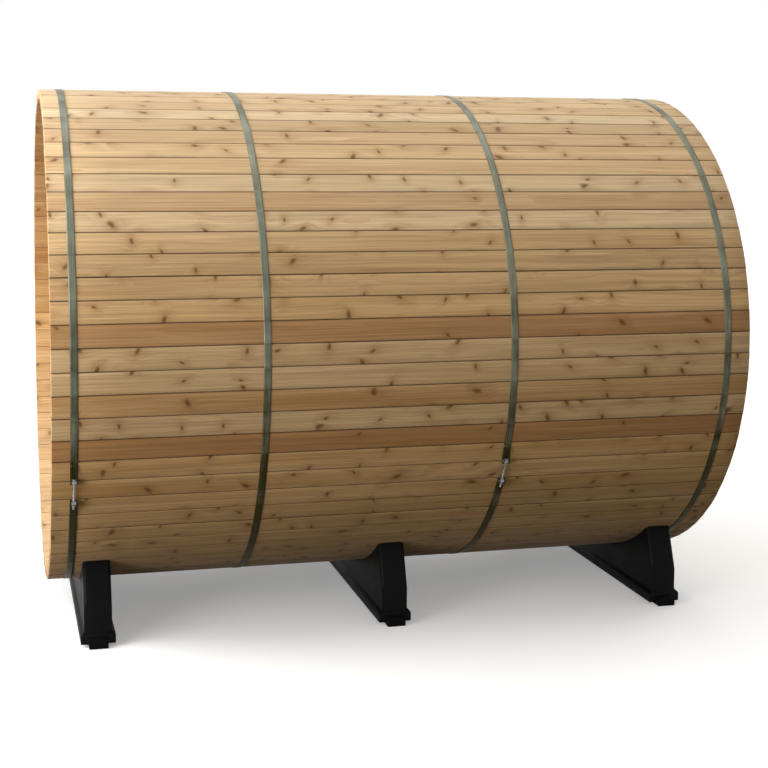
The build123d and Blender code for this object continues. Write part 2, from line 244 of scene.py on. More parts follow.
def knot_fields(tree, grain, knottiness):
    """How far a point lies from a knot, in knot radii, and its shares of core and halo."""
    field = (KNOT_FIELD[0] * MM, KNOT_FIELD[1] * MM, 1.0)
    cells = add(tree, "ShaderNodeVectorMath", {0: grain, 1: field}, operation="DIVIDE")
    cells = add(tree, "ShaderNodeVectorMath", {0: cells, 1: (1.0, 1.0, 0.0)}, operation="MULTIPLY")
    scatter = {"Vector": cells, "Scale": 1.0, "Randomness": KNOT_SCATTER}
    knot = add(tree, "ShaderNodeTexVoronoi", scatter, out="Position", voronoi_dimensions="2D")
    chance = add(tree, "ShaderNodeSeparateColor", {0: knot.node.outputs["Color"]})
    chance_there, chance_size, chance_slant = chance.node.outputs

    away = add(tree, "ShaderNodeVectorMath", {0: cells, 1: knot}, operation="SUBTRACT")
    away = add(tree, "ShaderNodeVectorMath", {0: away, 1: field}, operation="MULTIPLY")
    lean = {"Value": chance_slant, "To Min": -KNOT_SLANT, "To Max": KNOT_SLANT}
    slant = add(tree, "ShaderNodeMapRange", lean)
    leaning = add(tree, "ShaderNodeVectorRotate", {"Vector": away, "Angle": slant}, rotation_type="Z_AXIS")
    leaning = add(tree, "ShaderNodeVectorMath", {0: leaning, 1: KNOT_SQUASH}, operation="MULTIPLY")
    reach = add(tree, "ShaderNodeVectorMath", {0: leaning}, out="Value", operation="LENGTH")
    size = add(tree, "ShaderNodeMath", {0: chance_size, 1: 2.0}, operation="POWER")
    radii = {"Value": size, "To Min": KNOT_RADII[0] * MM, "To Max": KNOT_RADII[1] * MM}
    size = add(tree, "ShaderNodeMapRange", radii)
    far = add(tree, "ShaderNodeMath", {0: reach, 1: size}, operation="DIVIDE")
    notches = {"Vector": grain, "Scale": 1 / (KNOT_NOTCH * MM), "Detail": 2.0}
    ragged = add(tree, "ShaderNodeTexNoise", notches, out="Fac")
    far = add(tree, "ShaderNodeMath", {0: ragged, 1: KNOT_RAGGEDNESS, 2: far}, operation="MULTIPLY_ADD")

    there = add(tree, "ShaderNodeMath", {0: knottiness, 1: chance_there}, operation="GREATER_THAN")
    border = add(
        tree,
        "ShaderNodeTexVoronoi",
        scatter,
        out="Distance",
        voronoi_dimensions="2D",
        feature="DISTANCE_TO_EDGE",
    )
    edge = {"Value": border, "From Max": FIELD_FADE}
    fade = add(tree, "ShaderNodeMapRange", edge, interpolation_type="SMOOTHSTEP")
    there = add(tree, "ShaderNodeMath", {0: there, 1: fade}, operation="MULTIPLY")
    rim = {"Value": far, "From Min": CORE_REACH[0], "From Max": CORE_REACH[1], "To Min": 1.0, "To Max": 0.0}
    core = add(tree, "ShaderNodeMapRange", rim, interpolation_type="SMOOTHSTEP")
    core = add(tree, "ShaderNodeMath", {0: core, 1: there}, operation="MULTIPLY")
    halo = add(tree, "ShaderNodeMath", {0: HALO_FALL, 1: far}, operation="POWER")
    halo = add(tree, "ShaderNodeMath", {0: halo, 1: there}, operation="MULTIPLY")
    return far, core, halo


print("knots of radius", KNOT_RADII, "mm, in fields of", KNOT_FIELD, "mm")

# %% [markdown]
# Next come the rings and the streaks. The grain wanders by about 8 mm over half a metre, so no line
# in a board is quite straight. Rings run round the heart of the tree and are pushed aside by knots.
# Real rings are 1 to 3 mm apart, which is less than a pixel here, so they are drawn 5 mm apart. Streaks
# are 6 mm wide and half a metre long, and broad bands of about 45 mm lie under them.

# %% Rings and streaks
WANDER_SIZE = (500.0, 111.1)
WANDER_REACH = 16.0
RING_SPACING = 5.0
RING_PUSH = 12.0
LATEWOOD_POWER = 2.5
STREAK_SIZE = (500.0, 6.25)
STREAK_CONTRAST = (0.32, 0.68)
BAND_SIZE = (1111.1, 45.45)
BAND_CONTRAST = (0.3, 0.7)


def wandering(tree, grain):
    """The grain's coordinates, bent sideways here and there."""
    slow = add(tree, "ShaderNodeVectorMath", {0: grain, 1: per_metre(*WANDER_SIZE)}, operation="MULTIPLY")
    drift = add(tree, "ShaderNodeTexNoise", {"Vector": slow, "Scale": 1.0, "Detail": 2.0}, out="Color")
    drift = add(tree, "ShaderNodeVectorMath", {0: drift, 1: (0.5, 0.5, 0.5)}, operation="SUBTRACT")
    reach = (0.0, WANDER_REACH * MM, WANDER_REACH * MM)
    drift = add(tree, "ShaderNodeVectorMath", {0: drift, 1: reach}, operation="MULTIPLY")
    return add(tree, "ShaderNodeVectorMath", {0: grain, 1: drift}, operation="ADD")


def latewood_share(tree, bent, halo):
    """Share of dark latewood, which grows slowly across each ring and stops sharply."""
    ring = add(tree, "ShaderNodeVectorMath", {0: bent, 1: (0.0, 1.0, 1.0)}, operation="MULTIPLY")
    ring = add(tree, "ShaderNodeVectorMath", {0: ring}, out="Value", operation="LENGTH")
    ring = add(tree, "ShaderNodeMath", {0: halo, 1: RING_PUSH * MM, 2: ring}, operation="MULTIPLY_ADD")
    ring = add(tree, "ShaderNodeMath", {0: ring, 1: RING_SPACING * MM}, operation="DIVIDE")
    ring = add(tree, "ShaderNodeMath", {0: ring}, operation="FRACT")
    return add(tree, "ShaderNodeMath", {0: ring, 1: LATEWOOD_POWER}, operation="POWER")


def streaks_and_bands(tree, bent):
    """Fine streaks and broad bands along the board, both from 0 to 1."""
    fine = add(tree, "ShaderNodeVectorMath", {0: bent, 1: per_metre(*STREAK_SIZE)}, operation="MULTIPLY")
    fibres = {"Vector": fine, "Scale": 1.0, "Detail": 3.0, "Roughness": 0.6}
    streak = add(tree, "ShaderNodeTexNoise", fibres, out="Fac")
    span = {"Value": streak, "From Min": STREAK_CONTRAST[0], "From Max": STREAK_CONTRAST[1]}
    streak = add(tree, "ShaderNodeMapRange", span)
    wide = add(tree, "ShaderNodeVectorMath", {0: bent, 1: per_metre(*BAND_SIZE)}, operation="MULTIPLY")
    band = add(tree, "ShaderNodeTexNoise", {"Vector": wide, "Scale": 1.0, "Detail": 2.0}, out="Fac")
    span = {"Value": band, "From Min": BAND_CONTRAST[0], "From Max": BAND_CONTRAST[1]}
    band = add(tree, "ShaderNodeMapRange", span)
    return streak, band


print("rings are", RING_SPACING, "mm apart and streaks", STREAK_SIZE[1], "mm wide")

# %% [markdown]
# Now the colour is laid up in layers. Pale sapwood and red heartwood are mixed by the board's own
# redness, then paled on the palest boards, which are bleached, and on the faces that look up, outside
# or into the porch, which is painted light. Latewood, streaks, knots, cut ends and the painted shade in
# the seams are laid over that.

# %% Colour of the wood
PALE_WOOD = ("#DFB985", "#C0955E")
RED_WOOD = ("#BE9060", "#A67748")
BLEACHED_AND_LIT_WOOD = "#E8D3AE"
LATEWOOD = "#94602F"
LATEWOOD_MOST = (0.28, 0.02)
STREAK_SHADE = (0.79, 1.12)
KNOT_HALO = "#94693A"
KNOT_CORE = ("#6E4826", "#4A2C12")
KNOT_RIM = (0.45, 1.0)
END_GRAIN = "#A87B4C"
SEAM_SHADOW = "#3A2410"


def wood_colour(tree, board, knots, latewood, streak, band):
    """Colour of the wood, from the board's own marks and the knots, rings and streaks in it."""
    far, core, halo = knots

    # Sapwood to heartwood, paled by bleach and by painted light, with latewood where the band is pale
    pale, red = [
        add(tree, "ShaderNodeMix", {0: band, 6: linear(first), 7: linear(second)}, **COLOUR_MIX)
        for first, second in (PALE_WOOD, RED_WOOD)
    ]
    wood = add(tree, "ShaderNodeMix", {0: board["redness"], 6: pale, 7: red}, **COLOUR_MIX)
    # Painted light: faces that look up are mixed towards this pale colour, and so are the palest boards,
    # which are bleached
    lit_and_bleached = {0: board["bleach_and_painted_light"], 6: wood, 7: linear(BLEACHED_AND_LIT_WOOD)}
    wood = add(tree, "ShaderNodeMix", lit_and_bleached, **COLOUR_MIX)
    most = {"Value": band, "To Min": LATEWOOD_MOST[0], "To Max": LATEWOOD_MOST[1]}
    most = add(tree, "ShaderNodeMapRange", most)
    late = add(tree, "ShaderNodeMath", {0: latewood, 1: most}, operation="MULTIPLY")
    wood = add(tree, "ShaderNodeMix", {0: late, 6: wood, 7: linear(LATEWOOD)}, **COLOUR_MIX)

    # Streaks and the board's own lightness
    shade = {"Value": streak, "To Min": STREAK_SHADE[0], "To Max": STREAK_SHADE[1]}
    shade = add(tree, "ShaderNodeMapRange", shade)
    shade = add(tree, "ShaderNodeMath", {0: shade, 1: board["lightness"]}, operation="MULTIPLY")
    wood = add(tree, "ShaderNodeVectorMath", {0: wood, "Scale": shade}, operation="SCALE")

    # Layers over the wood: where each lies, how much it covers at most, and its colour
    rim = {"Value": far, "From Min": KNOT_RIM[0], "From Max": KNOT_RIM[1]}
    rim = add(tree, "ShaderNodeMapRange", rim)
    knot_ends = {0: rim, 6: linear(KNOT_CORE[0]), 7: linear(KNOT_CORE[1])}
    knot_wood = add(tree, "ShaderNodeMix", knot_ends, **COLOUR_MIX)
    # The last layer, in the seams, is painted shade
    layers = (
        (halo, 0.75, linear(KNOT_HALO)),
        (core, 0.85, knot_wood),
        (board["end_grain"], 0.3, linear(END_GRAIN)),
        (board["seam"], 0.92, linear(SEAM_SHADOW)),
    )
    for place, cover, colour in layers:
        share = add(tree, "ShaderNodeMath", {0: place, 1: cover}, operation="MULTIPLY")
        wood = add(tree, "ShaderNodeMix", {0: share, 6: wood, 7: colour}, **COLOUR_MIX)
    return wood


print("pale wood", PALE_WOOD, "and red wood", RED_WOOD)

# %% [markdown]
# Last, the material puts these together. Planed wood is matt, with a faint sheen along its fibres, so
# the mirror part is kept low, and the streaks and the latewood stand up by a fraction of a millimetre.

# %% Cedar, planed
GRAIN_RELIEF = 0.8
GRAIN_RELIEF_STRENGTH = 0.35
LATEWOOD_RELIEF = 0.5
PLANED_ROUGHNESS = (0.62, 0.78)


def cedar_material():
    """Solid planed cedar with rings, knots and streaks in the board's own coordinates."""
    material, tree = new_material("planed_knotty_cedar")
    grain = add(tree, "ShaderNodeAttribute", out="Vector", attribute_name="grain")
    tone = add(tree, "ShaderNodeAttribute", out="Vector", attribute_name="tone")
    board = {
        mark: add(tree, "ShaderNodeAttribute", out="Fac", attribute_name=mark)
        for mark in ("bleach_and_painted_light", "seam", "end_grain")
    }
    tones = add(tree, "ShaderNodeSeparateXYZ", {0: tone}).node.outputs
    board["lightness"], board["redness"], knottiness = tones
    bent = wandering(tree, grain)
    knots = knot_fields(tree, grain, knottiness)
    latewood = latewood_share(tree, bent, knots[-1])
    streak, band = streaks_and_bands(tree, bent)

    height = {0: latewood, 1: LATEWOOD_RELIEF, 2: streak}
    relief = add(tree, "ShaderNodeMath", height, operation="MULTIPLY_ADD")
    fibres = {"Height": relief, "Strength": GRAIN_RELIEF_STRENGTH, "Distance": GRAIN_RELIEF * MM}
    rough = {"Value": streak, "To Min": PLANED_ROUGHNESS[0], "To Max": PLANED_ROUGHNESS[1]}
    shader = add(
        tree,
        "ShaderNodeBsdfPrincipled",
        {
            "Base Color": wood_colour(tree, board, knots, latewood, streak, band),
            "Roughness": add(tree, "ShaderNodeMapRange", rough),
            "Normal": add(tree, "ShaderNodeBump", fibres, out="Normal"),
            "IOR": 1.5,
            "Specular IOR Level": 0.06,
            "Sheen Weight": 0.12,
            "Sheen Roughness": 0.5,
        },
    )
    add(tree, "ShaderNodeOutputMaterial", {"Surface": shader})
    return material


cedar = cedar_material()
print("cedar nodes:", len(cedar.node_tree.nodes))

# %% [markdown]
# ## Staves
#
# A stave is one length of cedar with a bead along one edge and a cove along the other, so that the
# next stave can roll round it and still shut out the light. Its outer face is flat and its outer
# edges are eased, which draws part of the fine dark line between two staves. The same outline is
# swept along the barrel for each of the 75 staves. Each point also says how deep it lies in the seam,
# so that the shader can paint the rest of that line as painted shade.

# %% Outline of a stave
SEAM_GAP = 0.2
SEAM_EASE = 4.5
# Depth in the seam sets its painted shade, at each angle round the eased edge and on the inner edge
EASE_DEPTHS = {30: 0.25, 60: 0.95, 90: 1.0}
INNER_EASE = 1.5
INNER_DEPTH = 0.8
BEAD_RADIUS = 6.8
COVE_RADIUS = 7.1
FLAT_SHARES = (-1.0, -0.5, 0.0, 0.5, 1.0)
CORE_INSET = 1.2
inner_radius = BARREL_RADIUS - STAVE_THICKNESS
middle_radius = BARREL_RADIUS - STAVE_THICKNESS / 2


def stave_edge(height):
    """Half the width of a stave at this distance from the axis."""
    return height * tan(half_angle) - SEAM_GAP / 2


def stave_outline():
    """Points across and out from the axis, each with its depth in the seam from 0 to 1."""
    flat = stave_edge(BARREL_RADIUS) - SEAM_EASE
    points = [(share * flat, BARREL_RADIUS, 0.0) for share in FLAT_SHARES]
    ease = []
    for degree, depth in EASE_DEPTHS.items():
        out = SEAM_EASE * sin(radians(degree))
        drop = SEAM_EASE * (1 - cos(radians(degree)))
        ease.append((flat + out, BARREL_RADIUS - drop, depth))
    points += ease
    centre = stave_edge(middle_radius)
    for degree in range(90, -91, -30):
        across = centre + BEAD_RADIUS * cos(radians(degree))
        points.append((across, middle_radius + BEAD_RADIUS * sin(radians(degree)), 1.0))
    low = stave_edge(inner_radius + INNER_EASE)
    points.append((low, inner_radius + INNER_EASE, INNER_DEPTH))
    points.append((low - INNER_EASE, inner_radius, 0.0))
    points.append((-low + INNER_EASE, inner_radius, 0.0))
    points.append((-low, inner_radius + INNER_EASE, INNER_DEPTH))
    for degree in range(-90, 91, 30):
        height = middle_radius + COVE_RADIUS * sin(radians(degree))
        across = -centre - SEAM_GAP + COVE_RADIUS * cos(radians(degree))
        points.append((max(across, -stave_edge(height)), height, 1.0))
    points += [(-across, height, depth) for across, height, depth in reversed(ease)]
    return points


outline = np.array(stave_outline())
tangent = np.roll(outline[:, :2], -1, 0) - np.roll(outline[:, :2], 1, 0)
inward = np.stack([tangent[:, 1], -tangent[:, 0]], 1) / np.linalg.norm(tangent, axis=1)[:, None]
core = np.column_stack([outline[:, :2] + CORE_INSET * inward, np.zeros(len(outline))])
print("points in a stave's outline:", len(outline))

# %% [markdown]
# A stave is drawn as a row of these outlines. Its ends are eased, and its inner face is cut by the two
# crozes, the grooves that hold the end walls. The first and the last outline are drawn a hair smaller
# than the stave, so that the dark joint shows as a thin line between the ends.

# %% Sections along a stave
CROZE_DEPTH = 10.0
CROZE_HALF = 17.8
CROZE_STEP = 0.3
END_EASE = {0.0: 2.6, 0.9: 0.8, 2.8: 0.0}
PLAIN_SECTIONS = np.linspace(-1000, 1000, 9)

stations = []
for from_end, inset in END_EASE.items():
    stations.append((-HALF_LENGTH + from_end, inset, False))
    stations.append((HALF_LENGTH - from_end, inset, False))
for wall_x in (FRONT_WALL_X, BACK_WALL_X):
    for side in (-1, 1):
        stations.append((wall_x + side * (CROZE_HALF + CROZE_STEP), 0.0, False))
        stations.append((wall_x + side * CROZE_HALF, 0.0, True))
stations += [(x, 0.0, False) for x in PLAIN_SECTIONS]
stations.sort()
sections = [(*station, outline) for station in stations]
sections = [(*stations[0], core)] + sections + [(*stations[-1], core)]
print("sections along a stave:", len(sections))

# %% [markdown]
# Each stave also carries what the cedar shader needs: where it lay in the tree, how light and how red
# it is, how knotty, how deep each point lies in a seam, and which faces are end grain. A clear red
# board has few knots.

# %% Attributes for the cedar
BOARD_PLACE = ((3, 90), (-0.07, 0.07), (0.03, 0.2))
BOARD_LIGHTNESS = (0.93, 1.05)
PLAIN_BOARD_RED = (0.0, 0.2)
RED_BOARD_RED = (0.4, 1.0)
RED_BOARD_CHANCE = 0.16
BOARD_KNOTS = (0.5, 0.95)
RED_BOARD_CLEAR = 0.85


def wood_marks(mesh, grain, tone, bleach_and_painted_light, seam, end_grain):
    """Everything that the cedar shader reads."""
    set_attribute(mesh, "bleach_and_painted_light", "FLOAT", "POINT", bleach_and_painted_light)
    set_attribute(mesh, "grain", "FLOAT_VECTOR", "POINT", grain)
    set_attribute(mesh, "tone", "FLOAT_VECTOR", "POINT", tone)
    set_attribute(mesh, "seam", "FLOAT", "POINT", seam)
    set_attribute(mesh, "end_grain", "FLOAT", "FACE", end_grain)


def roll_board(redness=None):
    """Where a board lay in the tree, in metres, and its lightness, redness and share of knots."""
    place = np.array([dice.uniform(*span) for span in BOARD_PLACE])
    light = dice.uniform(*BOARD_LIGHTNESS)
    plain = dice.uniform(*PLAIN_BOARD_RED)
    red = dice.uniform(*RED_BOARD_RED)
    is_red = dice.random() < RED_BOARD_CHANCE
    if redness is None:
        redness = red if is_red else plain
    knots = dice.uniform(*BOARD_KNOTS) * (1 - RED_BOARD_CLEAR * redness)
    return place, np.array([light, redness, knots])


print("about", round(RED_BOARD_CHANCE * STAVE_COUNT), "boards in", STAVE_COUNT, "come out red by chance")

# %% [markdown]
# On the side that the picture shows, the clear red staves and the palest and darkest ones stand where
# they do on the real barrel, and the others follow the dice; the palest are bleached a little. The
# staves that face the sky are painted paler, which is painted light, and so are the inner faces that
# make the porch floor, as painted light through the open end. Every stave sits a hair deeper or leans a
# hair more than its neighbour, as planed wood does, and never stands out past the solid one.

# %% Sweep one stave
RED_STAVES = {67: 0.6, 63: 0.6, 57: 0.85, 54: 0.45, 52: 0.9}
FIRST_SEEN_STAVE = 45
PLAIN_STAVES = set(range(FIRST_SEEN_STAVE, STAVE_COUNT)) - set(RED_STAVES)
PALE_STAVES = {69, 64, 62, 56, 55, 53}
DARK_STAVES = {70, 68, 60, 59, 48}
PLAIN_REDNESS = 0.08
INSIDE_REDNESS = 0.1
DARK_SHADE = 0.93
# Painted light: how much paler the staves that face the sky are painted
TOP_PAINTED_LIGHT = 0.46
PALE_BLEACH = 0.25
# Painted light: how much paler the inner faces that look up into the porch are painted
INSIDE_PAINTED_LIGHT = 0.5
STAVE_SINK = (0.2, 0.9)
STAVE_LEAN = (-0.22, 0.22)
STAVE_BOW = (-0.4, 0.4)
STAVE_SHORTEN = (0.0, 1.2)
INNER_INSET_SHARE = 0.4


def sweep_stave(number):
    """Points of one stave in millimetres, and its grain, tones, and its bleach and painted light, for each
    point.
    """
    sink = dice.uniform(*STAVE_SINK)
    lean = radians(dice.uniform(*STAVE_LEAN))
    bow = dice.uniform(*STAVE_BOW)
    shorten = dice.uniform(*STAVE_SHORTEN, 2)
    place, tone = roll_board(RED_STAVES.get(number, PLAIN_REDNESS if number in PLAIN_STAVES else None))
    angle = radians((number + 0.5) * STAVE_ANGLE)
    inside = outline[:, 1] < inner_radius + 2 * INNER_EASE
    tones = np.tile(tone, (len(outline), 1))
    tones[:, 0] *= DARK_SHADE if number in DARK_STAVES else 1.0
    tones[inside, 1] += INSIDE_REDNESS
    # Painted light on the outer faces, more the more they face up, plus the bleach of the palest staves
    outer_bleach_and_light = TOP_PAINTED_LIGHT * max(cos(angle), 0.0) + PALE_BLEACH * (number in PALE_STAVES)
    # Painted light on the inner faces, more the more they face up into the porch
    bleach_and_painted_light = np.where(inside, INSIDE_PAINTED_LIGHT * max(-cos(angle), 0.0), outer_bleach_and_light)
    points, grain = [], []
    for x, inset, in_croze, shape in sections:
        across, height = shape[:, 0], shape[:, 1]
        if in_croze:
            height = np.maximum(height, inner_radius + CROZE_DEPTH)
        margin = CORE_INSET if shape is core else 0.0
        lowest = inner_radius + INNER_INSET_SHARE * inset + margin
        height = np.clip(height, lowest, BARREL_RADIUS - inset - margin)
        drop = sink + bow * (x / HALF_LENGTH) ** 2
        leaned = height + across * sin(lean) - drop - abs(lean) * stave_edge(BARREL_RADIUS)
        end = shorten[0] if x < 0 else -shorten[1]
        along = x + end * abs(x) / HALF_LENGTH
        y = across * cos(angle) + leaned * sin(angle)
        z = AXIS_HEIGHT - across * sin(angle) + leaned * cos(angle)
        points.append(np.stack([np.full_like(y, along), y, z], 1))
        own = np.stack([np.full_like(y, along), across, height - middle_radius], 1) * MM
        grain.append(own + place)
    rows = len(sections)
    return np.concatenate(points), np.concatenate(grain), np.tile(tones, (rows, 1)), np.tile(bleach_and_painted_light, rows)


print("points in a stave:", len(outline) * len(sections))

# %% [markdown]
# The solid model keeps the staves in five groups, so they are joined into five meshes here. Some seams
# have darker painted shade than others: the golden ratio, multiplied by a stave's number, spreads that
# evenly and without a visible repeat.

# %% Staves of the barrel, a fifth at a time
SEAM_SPREAD = 0.35
GOLDEN = 0.618
SECTORS = (
    "left_roof_staves",
    "left_wall_staves",
    "floor_staves",
    "right_wall_staves",
    "right_roof_staves",
)
per_sector = STAVE_COUNT // len(SECTORS)


def sector_mesh(name, numbers):
    """The staves of one fifth of the barrel as one mesh."""
    count, rows = len(outline), len(sections)
    swept = [sweep_stave(number) for number in numbers]
    points, grain, tones, bleach_and_painted_light = [np.concatenate(parts) for parts in zip(*swept)]
    faces = []
    for order in range(len(swept)):
        faces += skin(order * count * rows, rows, count)
    ends = [float(row in (0, rows - 2)) for row in range(rows - 1) for _ in range(count)] + [1.0, 1.0]
    depth = np.concatenate([shape[:, 2] for _, _, _, shape in sections])
    # Painted shade in the seams, darker in some seams than in others
    seam = np.concatenate([depth * (1 - SEAM_SPREAD * (number * GOLDEN % 1)) for number in numbers])
    mesh = mesh_of(name, points.tolist(), faces)
    wood_marks(mesh, grain, tones, bleach_and_painted_light, seam, ends * len(swept))
    return mesh


for sector, name in enumerate(SECTORS):
    numbers = range(sector * per_sector, (sector + 1) * per_sector)
    staves = piece("cedar_" + name, sector_mesh(name, numbers), cedar, "cedar", name, smooth=35)
    print(staves.name, len(staves.data.polygons), "faces")

# %% [markdown]
# ## Boards of the end walls, the door and its frame
#
# Walls, door and frame are plain boards whose shape the solid model already has. A copy of each is
# welded, its flat faces are joined up again, and its edges are eased by a small bevel. Then each
# separate board is found by walking along its edges, and gets its own place in the tree.

# %% Copies with eased edges
WELD_DISTANCE = 0.02
FLAT_ANGLE = 0.5
FINE_EASE = 0.6


def eased_copy(node, ease, least_angle=25, segments=2):
    """A welded copy of a solid piece with its edges eased, as work in progress."""
    work = bmesh.new()
    work.from_mesh(nodes[node].data)
    bmesh.ops.remove_doubles(work, verts=work.verts, dist=WELD_DISTANCE * MM)
    bmesh.ops.dissolve_limit(work, angle_limit=radians(FLAT_ANGLE), verts=work.verts, edges=work.edges)
    sharp = [e for e in work.edges if e.is_manifold and e.calc_face_angle() > radians(least_angle)]
    bmesh.ops.bevel(
        work,
        geom=sharp,
        offset=ease * MM,
        segments=segments,
        profile=0.5,
        affect="EDGES",
        clamp_overlap=True,
    )
    return work


def separate_boards(work):
    """Lists of vertices that hang together."""
    found, seen = [], set()
    for start in work.verts:
        if start in seen:
            continue
        seen.add(start)
        group = [start]
        for vert in group:
            for edge in vert.link_edges:
                other = edge.other_vert(vert)
                if other not in seen:
                    seen.add(other)
                    group.append(other)
        found.append(group)
    return found


trial = eased_copy("back_wall", FINE_EASE)
print("boards in the back wall:", len(separate_boards(trial)))
trial.free()

# %% [markdown]
# A wall's boards stand upright and show a dark joint where they meet, which is painted shade: the points
# between the two faces of such a board are marked as lying in a seam, and the shader darkens them. The
# sill, the head and the ledges lie across. The handle is rounder than the rest, because a hand closes on
# it.

# %% Board pieces
ACROSS, UPRIGHT = 1, 2
BOARD_EASE = 0.8
HANDLE_EASE = 4.0
BOARD_SEAM_DEPTH = 0.8
BOARD_SEAM_START = 1.5
END_FACING = 0.8
WALLS = (
    "front_wall_left",
    "front_wall_right",
    "front_wall_over_door",
    "front_wall_under_door",
    "back_wall",
)


def board_piece(node, along, ease=BOARD_EASE, has_seams=False):
    """Dress a wooden piece of the solid model. Along is the axis that its grain follows: 0, 1 or 2."""
    work = eased_copy(node, ease)
    work.verts.index_update()
    grain = np.zeros((len(work.verts), 3))
    tone = np.zeros((len(work.verts), 3))
    seam = np.zeros(len(work.verts))
    for board in separate_boards(work):
        index = np.array([vert.index for vert in board])
        places = np.array([vert.co for vert in board])
        low, high = places.min(0), places.max(0)
        size = high - low
        others = sorted({0, 1, 2} - {along}, key=lambda axis: -size[axis])
        own = (places - (low + high) / 2)[:, [along, *others]]
        place, board_tone = roll_board()
        grain[index] = own + place
        tone[index] = board_tone
        if has_seams:
            half_thick = size[others[1]] / 2
            # Painted shade on the board's edges, where it meets the next board
            seam[index] = BOARD_SEAM_DEPTH * (np.abs(own[:, 2]) < half_thick - BOARD_SEAM_START * MM)
    ends = [float(abs(face.normal[along]) > END_FACING) for face in work.faces]
    mesh = bpy.data.meshes.new(node)
    work.to_mesh(mesh)
    work.free()
    wood_marks(mesh, grain, tone, np.zeros(len(mesh.vertices)), seam, ends)
    return piece("cedar_" + node, mesh, cedar, "cedar", node, smooth=30)


for node in (*WALLS, "door_boards"):
    board_piece(node, UPRIGHT, FINE_EASE, has_seams=True)
for node in ("left_door_jamb", "right_door_jamb", "door_stops"):
    board_piece(node, UPRIGHT)
for node in ("door_head", "door_sill", "door_ledges"):
    board_piece(node, ACROSS)
handle = board_piece("door_handle", UPRIGHT, HANDLE_EASE)
print("board pieces made, the last with", len(handle.data.polygons), "faces")

# %% [markdown]
# ## Steel
#
# The hoops are flat zinc-coated strip that has dulled outdoors: a soft grey sheen, drawn out along the
# strip by the rolls, under an olive film. That film is painted shade and painted reflection: its olive
# stands in for the ground mirrored in the steel, it lies thicker on some flats than on others, partly
# as a real film and partly as painted reflection, and it is thickest low on the barrel and on the folded
# ends, where shade falls. The film is a plain matt skin, so where it is thick the share of metal and
# the gloss both drop. The bolts, nuts and cross pins are turned from brighter bar without that film.
# All keep the default index of refraction, because a metal's colour is its reflection. Roll marks are
# hundredths of a millimetre wide, so they are drawn 2 mm wide and 143 mm long.

# %% Satin strip and bright bar
CLOUD_SIZE = 111.1
BARE_SPAN = (-0.1, 0.6)
FILM_AND_BARE_GLOSS = (0.05, 0.5)
ROUGHNESS_SPREAD = 0.1
MARK_RELIEF = 0.2


def steel_material(name, colours, metallic, roughness, marks):
    """Steel with marks of this length and width along its grain. Colours and metallic: film, then bare; on
    the hoops the film holds painted shade.
    """
    material, tree = new_material(name)
    grain = add(tree, "ShaderNodeAttribute", out="Vector", attribute_name="grain")
    drawn = add(tree, "ShaderNodeVectorMath", {0: grain, 1: per_metre(*marks)}, operation="MULTIPLY")
    mark = add(tree, "ShaderNodeTexNoise", {"Vector": drawn, "Scale": 1.0, "Detail": 3.0}, out="Fac")
    clouds = {"Vector": grain, "Scale": 1 / (CLOUD_SIZE * MM), "Detail": 2.0}
    cloud = add(tree, "ShaderNodeTexNoise", clouds, out="Fac")
    bare = add(tree, "ShaderNodeMath", {0: mark, 1: cloud}, operation="MULTIPLY")
    span = {"Value": bare, "From Min": BARE_SPAN[0], "From Max": BARE_SPAN[1]}
    bare = add(tree, "ShaderNodeMapRange", span)
    # On the hoops this attribute is painted shade and painted reflection: darker low down, on the folded
    # ends and on some flats
    film_and_shade = add(tree, "ShaderNodeAttribute", out="Fac", attribute_name="film_and_shade")
    bare = add(tree, "ShaderNodeMath", {0: bare, 1: film_and_shade}, operation="SUBTRACT", use_clamp=True)

    paint = {0: bare, 6: linear(colours[0]), 7: linear(colours[1])}
    rough_low, rough_high = roughness - ROUGHNESS_SPREAD, roughness + ROUGHNESS_SPREAD
    shine = {"Value": mark, "To Min": rough_low, "To Max": rough_high}
    metal = {"Value": bare, "To Min": metallic[0], "To Max": metallic[1]}
    gloss = {"Value": bare, "To Min": FILM_AND_BARE_GLOSS[0], "To Max": FILM_AND_BARE_GLOSS[1]}
    scratches = {"Height": mark, "Strength": 0.15, "Distance": MARK_RELIEF * MM}
    shader = add(
        tree,
        "ShaderNodeBsdfPrincipled",
        {
            "Base Color": add(tree, "ShaderNodeMix", paint, **COLOUR_MIX),
            "Roughness": add(tree, "ShaderNodeMapRange", shine),
            "Metallic": add(tree, "ShaderNodeMapRange", metal),
            "Specular IOR Level": add(tree, "ShaderNodeMapRange", gloss),
            "Normal": add(tree, "ShaderNodeBump", scratches, out="Normal"),
        },
    )
    add(tree, "ShaderNodeOutputMaterial", {"Surface": shader})
    return material


# The olive film colour is painted reflection of the ground and painted shade
strip_shade_and_bare_colours = ("#383314", "#A3A897")
strip_steel = steel_material("dulled_zinc_strip_with_painted_shade", strip_shade_and_bare_colours, (0.05, 0.75), 0.42, (142.86, 2.0))
bar_colours = ("#5F5E5E", "#8C8B8C")
bar_steel = steel_material("turned_stainless_bar", bar_colours, (1.0, 1.0), 0.36, (3.3333, 3.3333))
print("steel materials:", strip_steel.name, "and", bar_steel.name)

# %% [markdown]
# ## Hoops
#
# Each hoop is one strip, 25 mm wide and 1.2 mm thick. It lies flat on each stave in turn, so it is a
# polygon and not a circle, and that is why it glints in steps. At both ends it folds back on itself
# round a cross pin, with a slot that lets the bolt through. The strip is drawn as its middle line,
# from one folded end to the other, and then given its thickness.

